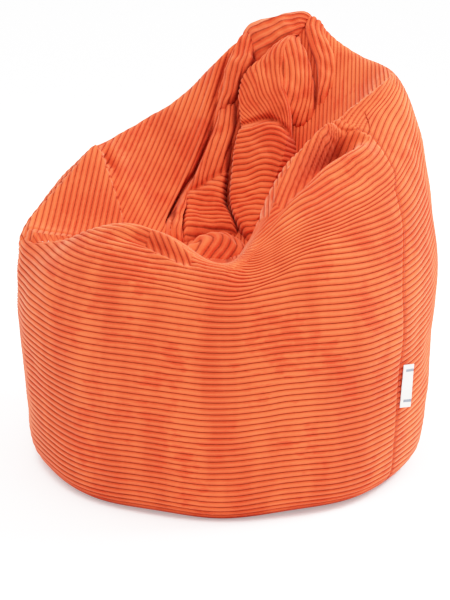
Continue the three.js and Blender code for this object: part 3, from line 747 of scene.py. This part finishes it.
def plain_layer(name, gore, depth, material):
    """A gore of the inner bag, under the cover."""
    u = np.linspace(0, 1, 110)
    t = np.concatenate([np.linspace(0, 5.4, 200), np.linspace(5.42, 9.95, 170)])[:, None]
    t = t + np.zeros((1, len(u)))
    deg, lo, hi = gore_angles(gore, u[None, :], t)
    p, up = place(deg, t)
    p = tucked(deg, t, p, up, depth)
    p[..., 2] = np.maximum(p[..., 2], 0.004)
    run = np.radians(deg) * WIDTH / 2
    faces = grid_faces(*t.shape)
    obj = new_object(name, p.reshape(-1, 3), faces, material, np.stack([corners(run), corners(t * 0.1)], -1))
    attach(obj, "bag")
    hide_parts(f"liner_{gore}_panel")


def bead_fill():
    deg = np.linspace(-180, 180, 241)[None, :-1]
    t = np.concatenate([np.linspace(0, 5.4, 50), np.linspace(5.45, 9.9, 90)])[:, None]
    deg, t = np.broadcast_arrays(deg, t)
    p, up = place(deg, t)
    p = tucked(deg, t, p, up, 0.012)
    p[..., 2] = np.maximum(p[..., 2], 0.006)
    bottom = np.mean(p[0], axis=0) * np.array([0, 0, 1])
    top = np.mean(p[-1], axis=0)
    rows, cols = deg.shape
    points = np.concatenate([p.reshape(-1, 3), bottom[None], top[None]])
    faces = grid_faces(rows, cols, closed=True)
    ring_ids = np.arange(cols)
    following = np.roll(ring_ids, -1)
    low = np.stack([np.full(cols, rows * cols), following, ring_ids, ring_ids], -1)
    top_ring = (rows - 1) * cols + ring_ids
    top_next = (rows - 1) * cols + following
    high = np.stack([np.full(cols, rows * cols + 1), top_ring, top_next, top_next], -1)
    obj = new_object("bead_fill_mass", points, np.concatenate([faces, low, high]), BEADS)
    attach(obj, "bag")
    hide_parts("bead_fill")


def base_disc(name, node, height, material, wales):
    """A round base panel."""
    deg = np.linspace(0, 360, 181)[None, :-1]
    k = np.linspace(0.002, 1, 90 if wales else 20)[:, None]
    rim = point(deg, np.zeros_like(deg))
    p = rim * k[..., None]
    p[..., 2] = height
    phase = p[..., 1] / WALE
    if wales:
        p[..., 2] = 0.0012 - 0.001 * wale_shape(phase) * smooth((1 - k) / 0.02)
    p[..., 2] = np.maximum(p[..., 2], 0.0)
    faces = grid_faces(*p.shape[:2], closed=True)

    def closed(v):
        return corners(np.concatenate([v, v[:, :1]], 1))

    obj = new_object(name, p.reshape(-1, 3), faces[:, ::-1], material,
                     np.stack([closed(p[..., 0])[:, ::-1], closed(phase)[:, ::-1]], -1))
    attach(obj, "bag")
    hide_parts(node)


for gore in GORES:
    outer_panel(gore)
    inner_panel(gore)
    plain_layer(f"liner_{gore}_cloth", gore, 0.0065, LINING)
bead_fill()
base_disc("cover_base_panel", "cover_base", 0.001, CORDUROY, True)
base_disc("liner_base_cloth", "liner_base", 0.0045, LINING, False)


# ---- loose folds of the crown
def spline(stops, k):
    """Smooth curve through rows of numbers; k runs from 0 to 1."""
    v = np.array(stops, float)
    v = np.concatenate([2 * v[:1] - v[1:2], v, 2 * v[-1:] - v[-2:-1]])
    x = np.clip(np.asarray(k, float), 0, 1) * (len(v) - 3)
    i = np.minimum(x.astype(int), len(v) - 4)
    f = (x - i)[..., None]
    a, b, c, d = v[i], v[i + 1], v[i + 2], v[i + 3]
    return 0.5 * (2 * b + (c - a) * f + (2 * a - 5 * b + 4 * c - d) * f * f + (3 * b - a - 3 * c + d) * f**3)


def fold(name, stops, wales, edge=0.012, ends=(0.0, 0.0), tilt=(1.0, 1.0), extra=None, sides=(True, True)):
    """A loose fold lying on the seat wall.

    stops run down the fold, each (left direction, left t, right direction, right t, height). edge and ends
    are the lengths over which its sides and ends round over. wales gives, from metres across and along, the
    metres across the wales."""
    k = np.linspace(0, 1, 200)
    line = spline(stops, k)
    left = point(line[:, 0], line[:, 1])
    right = point(line[:, 2], line[:, 3])
    middle = (left + right) / 2
    length = np.concatenate([[0], np.cumsum(np.linalg.norm(np.diff(middle, axis=0), axis=-1))])
    rows = int(length[-1] / FOLD_CELL)
    v = np.interp(np.linspace(0, length[-1], rows), length, k)
    along = np.interp(v, k, length)
    width = np.interp(v, k, np.linalg.norm(right - left, axis=-1))
    cols = int(width.max() / FOLD_CELL) + 12
    flat = np.linspace(-1, 1, cols)
    u = (np.sign(flat) * (1 - (1 - np.abs(flat)) ** 1.35) + 1) / 2
    values = spline(stops, v)[:, None, :]
    deg = mix(values[..., 0], values[..., 2], u)
    t = mix(values[..., 1], values[..., 3], u)
    height = values[..., 4] * mix(tilt[0], tilt[1], u)
    plain, up = place(deg, t)
    reach = np.maximum(width[:, None], 1e-4)
    from_left, from_right = u * reach, (1 - u) * reach

    def round_over(distance, length_over):
        x = np.clip(1 - distance / np.maximum(length_over, 1e-6), 0, 1)
        return np.sqrt(np.maximum(1 - x * x, 0))

    narrow = np.minimum(edge, 0.45 * reach)
    wrap = np.ones(deg.shape)
    if sides[0]:
        wrap = wrap * round_over(from_left, narrow)
    if sides[1]:
        wrap = wrap * round_over(from_right, narrow)
    if ends[0]:
        wrap = wrap * round_over(along[:, None], ends[0])
    if ends[1]:
        wrap = wrap * round_over(along[-1] - along[:, None], ends[1])
    across = (u - 0.5) * reach
    along = np.broadcast_to(along[:, None], deg.shape)
    if extra is not None:
        height = height + extra(across, along, u, np.broadcast_to(v[:, None], deg.shape))
    p = plain + up * ((height + FOLD_ROOT) * wrap - FOLD_ROOT)[..., None]
    p = p + up * (0.0012 * MID(p) + 0.0010 * QUICK(p))[..., None] * wrap[..., None]
    phase = wales(across, along, u, v[:, None], reach) / WALE
    p = p - normals(p) * (WALE_HEIGHT * wale_shape(phase))[..., None]
    uv = np.stack([corners(along + across), corners(phase)], -1)
    obj = new_object(name, p.reshape(-1, 3), grid_faces(*deg.shape)[:, ::-1], CORDUROY, uv[:, ::-1])
    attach(obj, "bag")
    return obj


FOLD_CELL = 0.0018
FOLD_ROOT = 0.004  # how far the sides of a fold run on below the wall


# Every fold: rows of (left direction, left t, right direction, right t, height), from its top to its bottom.
HOOD_LIMB = [(81, 6.16, 76.5, 6.44, 0.013), (83.5, 6.34, 76, 6.80, 0.019), (86, 6.52, 75.3, 7.0, 0.021),
             (87.5, 6.68, 74.5, 7.12, 0.022),
             (89.5, 6.95, 77, 7.26, 0.024), (91, 7.15, 80, 7.40, 0.023), (92, 7.34, 82.5, 7.55, 0.022),
             (93.5, 7.50, 87.5, 7.68, 0.018), (94, 7.60, 91, 7.72, 0.008)]
HOOD_BAND = [(84, 5.95, 75.5, 7.14, 0.012), (79, 5.95, 71, 7.10, 0.015), (73, 5.97, 66.5, 7.06, 0.016),
             (68, 6.0, 62.5, 6.98, 0.016), (62.5, 6.05, 60, 6.90, 0.015), (58, 6.1, 57.5, 6.74, 0.013),
             (55, 6.1, 56, 6.6, 0.008)]
TONGUE = [(60, 6.78, 57, 6.78, 0.012), (68, 7.04, 58.5, 6.86, 0.020), (72, 7.18, 58.7, 6.96, 0.026),
          (76, 7.28, 59, 7.04, 0.029), (79, 7.36, 59, 7.18, 0.030), (81, 7.48, 58.5, 7.32, 0.031),
          (82, 7.60, 58, 7.46, 0.031), (81, 7.82, 55, 7.70, 0.031), (80, 7.98, 51, 7.88, 0.030),
          (80, 8.10, 48, 8.02, 0.030), (82, 8.22, 46, 8.12, 0.031), (84, 8.36, 42, 8.24, 0.033),
          (85, 8.50, 40, 8.36, 0.034), (86, 8.64, 42, 8.50, 0.034), (86.5, 8.84, 46, 8.68, 0.033),
          (84, 9.04, 44, 8.88, 0.031), (77, 9.24, 42, 9.06, 0.028), (66, 9.40, 38, 9.26, 0.022),
          (50, 9.52, 30, 9.46, 0.014)]
TONGUE_FLANK = [(59, 6.78, 57, 6.78, 0.010), (60, 6.90, 55, 6.90, 0.018), (60.5, 7.04, 51.5, 7.02, 0.024),
                (60, 7.20, 48, 7.20, 0.026), (59.5, 7.36, 44, 7.38, 0.027), (58, 7.56, 41, 7.56, 0.027),
                (56, 7.72, 40.5, 7.72, 0.026), (53, 7.88, 43, 7.88, 0.023), (50, 8.02, 47, 8.00, 0.016)]
SIDE_FOLD = [(57.5, 6.05, 51, 5.98, 0.004), (57, 6.30, 51, 6.10, 0.009), (56, 6.62, 50, 6.28, 0.014),
             (52.5, 6.88, 47, 6.42, 0.018), (49, 7.02, 43.5, 6.58, 0.019), (46.5, 7.16, 40.5, 6.80, 0.019),
             (44, 7.30, 38.5, 7.02, 0.018), (42, 7.44, 37.5, 7.26, 0.014), (41, 7.60, 37.5, 7.50, 0.006)]
PLEAT = [(93.5, 7.48, 84.5, 7.62, 0.012), (94.5, 7.64, 83.5, 7.80, 0.017), (96, 7.78, 83.5, 8.00, 0.019),
         (99.5, 7.92, 85, 8.18, 0.020), (106, 8.08, 86.5, 8.36, 0.021), (116, 8.27, 88, 8.60, 0.024),
         (124, 8.46, 88.5, 8.78, 0.027), (129, 8.64, 87, 8.94, 0.028), (137, 8.84, 80, 9.14, 0.027),
         (146, 9.04, 74, 9.28, 0.022), (156, 9.24, 70, 9.42, 0.012)]
PLEAT_FLAP = [(119, 8.32, 117, 8.36, 0.008), (124, 8.42, 120, 8.48, 0.020), (130, 8.52, 124, 8.64, 0.026),
              (139, 8.62, 130, 8.78, 0.028), (150, 8.76, 138, 8.95, 0.028), (158, 8.92, 150, 9.16, 0.022),
              (166, 9.10, 160, 9.36, 0.006)]


def along_fold(shear=0.0):
    return lambda across, along, u, v, width: across + shear * along


def tongue_crease(u):
    return (8.8 + 1.3 * u * u) / (len(TONGUE) - 1)


def tongue_wales(across, along, u, v, width):
    """Drawn together towards the right on the upper facet, level below its crease."""
    gather = 1 + 1.1 * np.clip((v - 0.167) / 0.333, 0, 1.2) ** 1.6
    upper = -(1 - u) * width * gather
    x = across / 0.06
    lower = along * 1.02 + 0.013 * x * x - 0.03 * across
    return np.where(v < tongue_crease(u), upper, lower)


def tongue_dent(across, along, u, v):
    below = (v - tongue_crease(u)) * along.max()
    return (-0.009 * np.exp(-(below / 0.007) ** 2) + 0.004 * np.exp(-((below - 0.02) / 0.015) ** 2)
            + 0.004 * np.sin(np.pi * u) * smooth(below / 0.05))


def pleat_turn(u):
    return (5.8 - 1.3 * u) / (len(PLEAT) - 1)


def pleat_wales(across, along, u, v, width):
    """Upright on the strip, level over the lower roll."""
    return np.where(v < pleat_turn(u), across, along * 0.92 - 0.15 * across)


def pleat_dent(across, along, u, v):
    below = (v - pleat_turn(u)) * along.max()
    return -0.006 * np.exp(-(below / 0.006) ** 2)


def band_wales(across, along, u, v, width):
    """The same number of wales from end to end of the band."""
    return (u - 0.5) * 0.062 + 0 * across


hood = fold("crown_hood_band", HOOD_BAND, band_wales, edge=0.016, ends=(0.014, 0.02))
fold("crown_hood_limb", HOOD_LIMB, along_fold(-0.06), edge=0.010, ends=(0.012, 0.012))
fold("crown_tongue_flank", TONGUE_FLANK, along_fold(0.05), edge=0.009, ends=(0.01, 0.02),
     tilt=(1.0, 0.35), sides=(False, True))
tongue = fold("crown_tongue_cloth", TONGUE, tongue_wales, edge=0.010, ends=(0.012, 0.02), extra=tongue_dent)
side_fold = fold("crown_side_pleat", SIDE_FOLD, along_fold(), edge=0.012, ends=(0.012, 0.03), tilt=(1.0, 0.3))
pleat = fold("crown_pleat_cloth", PLEAT, pleat_wales, edge=0.010, ends=(0.010, 0.02), extra=pleat_dent)
fold("crown_pleat_flap", PLEAT_FLAP, along_fold(), edge=0.007, ends=(0.01, 0.012))


def floor_fold(centre, size, lean):
    """The cloth swept up in front of the crown, a soft mound on the bottom of the hollow."""
    turn = np.linspace(0, 2 * math.pi, 121)[None, :-1]
    k = np.linspace(0.002, 1, 60)[:, None]
    x, y = k * np.cos(turn), k * np.sin(turn)
    top = 0.5 + 0.5 * np.cos(math.pi * k**1.25) + 0 * turn
    p = np.stack([x * size[0], y * size[1] + lean * x * size[0], top * size[2]], -1) + np.array(centre)
    phase = (p[..., 2] - 0.5 * p[..., 1] - 0.42 * p[..., 0] + 5 * (p[..., 0] - centre[0]) ** 2) / WALE
    lift = unit(p - np.array(centre) + np.array([0, 0, 0.02]))
    p = p + lift * (WALE_HEIGHT * wale_shape(phase) + 0.0012 * QUICK(p))[..., None]
    faces = grid_faces(*phase.shape, closed=True)
    around = np.concatenate([phase, phase[:, :1]], 1)
    run = np.concatenate([p[..., 1], p[:, :1, 1]], 1)
    obj = new_object("seat_floor_fold", p.reshape(-1, 3), faces[:, ::-1], CORDUROY,
                     np.stack([corners(run)[:, ::-1], corners(around)[:, ::-1]], -1))
    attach(obj, "bag")


floor_fold((-0.020, 0.014, 0.348), (0.092, 0.070, 0.050), 0.3)
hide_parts("crown_hood")
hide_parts("crown_tongue")
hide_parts("crown_side_fold")
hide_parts("crown_pleat")


# ---- zips
ZIP_FINISHES = {"cover_zip_tape": TAPE, "cover_zip_coil": COIL, "cover_zip_": METAL,
                "liner_zip_tape": WHITE_TAPE, "liner_zip_coil": WHITE_COIL, "liner_zip_": METAL}
for name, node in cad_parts.items():
    finish = next((material for start, material in ZIP_FINISHES.items() if name.startswith(start)), None)
    if finish:
        node.data.materials.clear()
        node.data.materials.append(finish)


# ---- side label
def label_axes():
    """Centre, axes and sizes of the label's solid: across, up and through it."""
    co = np.unique(np.round([v.co[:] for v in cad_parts["side_label"].data.vertices], 6), axis=0)
    start = co[0]
    steps = co[1:] - start
    order = np.argsort(np.linalg.norm(steps, axis=1))
    axes = []
    for i in order:
        direction = unit(steps[i])
        if all(abs(direction @ a[0]) < 0.05 for a in axes):
            axes.append((direction, float(np.linalg.norm(steps[i]))))
    through, across, up = axes[:3]
    centre = co.mean(0)
    flip = np.sign(np.dot(across[0][:2], centre[:2])) or 1.0
    return centre, across[0] * flip, up[0] * np.sign(up[0][2]), across[1], up[1]


def side_label():
    """A folded satin label sewn into the seam: two leaves joined by a soft bend at the outer edge."""
    centre, across, up, width, height = label_axes()
    face = unit(np.cross(up, across))
    root = centre - across * width / 2
    leaf, rows = 0.0007, 60
    k = np.linspace(-1, 1, 46)
    bend = 0.08  # share of each leaf that the bend takes
    from_bend = np.abs(k)
    x = np.where(from_bend < bend, width - leaf * (from_bend / bend) ** 2,
                 width * (1 - (from_bend - bend) / (1 - bend)))
    y = leaf * np.sign(k) * smooth(from_bend / bend)
    z = np.linspace(-height / 2, height / 2, rows)
    wave = 0.0010 * np.sin(z / height * 5.0)[:, None] * (x / width)[None, :] ** 2
    p = (root + x[None, :, None] * across + (y[None, :] + wave)[..., None] * face + z[:, None, None] * up)
    obj = new_object("side_label_cloth", p.reshape(-1, 3), grid_faces(rows, len(k)), SATIN)
    obj.data.materials.append(LABEL_INK)
    band = np.abs(np.abs(z[:-1]) - height * 0.36) < height * 0.03
    quads = np.repeat(band, len(k) - 1) & np.tile(np.abs(k[:-1]) < 0.82, rows - 1)
    obj.data.polygons.foreach_set("material_index", quads[:len(obj.data.polygons)].astype(np.int32))
    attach(obj, "label_tab")
    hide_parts("side_label")


side_label()


# ---- stitches
def stitches(name, path_points, outward, gap, length, radius):
    """A row of short threads lying along a path."""
    steps = np.concatenate([[0], np.cumsum(np.linalg.norm(np.diff(path_points, axis=0), axis=-1))])
    starts = np.arange(gap, steps[-1] - length, length + gap)
    points, faces = [], []
    sides, rings = 6, 7
    for start in starts:
        at = start + np.linspace(0, length, rings)
        line = np.stack([np.interp(at, steps, path_points[:, i]) for i in range(3)], -1)
        up = np.stack([np.interp(at, steps, outward[:, i]) for i in range(3)], -1)
        arch = np.sin(np.linspace(0, math.pi, rings))
        line = line + up * (arch[:, None] * radius * 1.2 - radius * 0.4)
        forward = unit(np.gradient(line, axis=0))
        side = unit(np.cross(forward, up))
        turn = np.linspace(0, 2 * math.pi, sides, endpoint=False)
        thick = radius * (0.55 + 0.45 * arch)
        circle = (np.cos(turn)[None, :, None] * side[:, None] + np.sin(turn)[None, :, None] * up[:, None])
        base = sum(len(q) for q in points)
        points.append((line[:, None] + circle * thick[:, None, None]).reshape(-1, 3))
        faces.append(grid_faces(rings, sides, closed=True) + base)
        caps = [[base, base + 1, base + 2, base + 3], [base, base + 3, base + 4, base + 5]]
        top = base + (rings - 1) * sides
        caps += [[top + 3, top + 2, top + 1, top], [top + 5, top + 4, top + 3, top]]
        faces.append(np.array(caps)[:, ::-1])
    obj = new_object(name, np.concatenate(points), np.concatenate(faces), THREAD)
    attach(obj, "bag")


def seam_stitches(name, seam, lo, hi, beside):
    """Top stitching that follows a seam at a fixed distance."""
    t = np.linspace(lo, hi, 260)
    deg = seam_at(seam, t)
    reach = np.hypot(*point(deg, t)[:, :2].T)
    deg = deg + np.degrees(beside / reach)
    p, up = place(deg, t)
    stitches(name, p + up * 0.0006, up, 0.0016, 0.0034, 0.0005)


STITCHED = (0.5, 5.8)  # t where the rows start, clear of the floor, and end
for seam, beside in (("right", 0.0), ("left", 0.0), ("back_low", -0.006), ("back_high", 0.006)):
    seam_stitches(f"seam_stitches_{seam}", seam, *STITCHED, beside)


# ---- floor, light and camera
def studio():
    mesh = bpy.data.meshes.new("studio_floor")
    r = 14.0  # half width of the floor
    mesh.from_pydata([(-r, -r, 0), (r, -r, 0), (r, r, 0), (-r, r, 0)], [], [(0, 1, 2, 3)])
    floor = bpy.data.objects.new("studio_floor", mesh)
    bpy.context.scene.collection.objects.link(floor)
    floor.location.z = -0.0005
    floor.data.materials.append(FLOOR)

    def softbox(name, place, aim, size, power):
        light = bpy.data.lights.new(name, "AREA")
        light.shape = "RECTANGLE"
        light.size, light.size_y = size
        light.energy = power
        obj = bpy.data.objects.new(name, light)
        bpy.context.scene.collection.objects.link(obj)
        obj.location = place
        direction = np.array(aim) - np.array(place)
        yaw = math.atan2(direction[1], direction[0]) - math.pi / 2
        pitch = math.atan2(direction[2], math.hypot(direction[0], direction[1]))
        obj.rotation_euler = (pitch + math.pi / 2, 0, yaw)

    softbox("ceiling_light", (0, 3, 6), (0, 3.001, 0), (16, 20), 1650)
    softbox("side_light", (2.3, 0.3, 2.3), (0, 0, 0.4), (1.2, 1.2), 100)
    softbox("front_light", (-0.6, -1.9, 3.4), (0, 0.15, 0.5), (1.2, 1.2), 62)
    world = bpy.data.worlds.new("studio")
    bpy.context.scene.world = world
    world.use_nodes = True
    world.node_tree.nodes["Background"].inputs[0].default_value = (1, 1, 1, 1)
    world.node_tree.nodes["Background"].inputs[1].default_value = 0.42


def camera():
    """The photograph's viewing angle, from slightly above; the shifts are in shares of the image height."""
    data = bpy.data.cameras.new("camera")
    data.sensor_width = 36
    data.lens = 110.1
    data.shift_x = -1 / 600
    data.shift_y = -52.5 / 600
    obj = bpy.data.objects.new("camera", data)
    bpy.context.scene.collection.objects.link(obj)
    elevation, distance, aim = math.radians(15), 3.2, 0.375
    obj.location = (0, -distance * math.cos(elevation), aim + distance * math.sin(elevation))
    obj.rotation_euler = (math.pi / 2 - elevation, 0, 0)
    bpy.context.scene.camera = obj


def soft_highlights():
    """A film-like shoulder: bright orange turns paler instead of clipping."""
    view = bpy.context.scene.view_settings
    view.use_curve_mapping = True
    curve = view.curve_mapping
    curve.white_level = (2.0, 2.0, 2.0)
    points = curve.curves[3].points
    points[0].location = (0.0, 0.0)
    points[1].location = (1.0, 1.0)
    for x, y in [(0.12, 0.235), (0.25, 0.46), (0.4, 0.68), (0.6, 0.87), (0.8, 0.96)]:
        points.new(x, y)
    curve.update()


studio()
camera()
bpy.context.scene.view_settings.view_transform = "Standard"
soft_highlights()
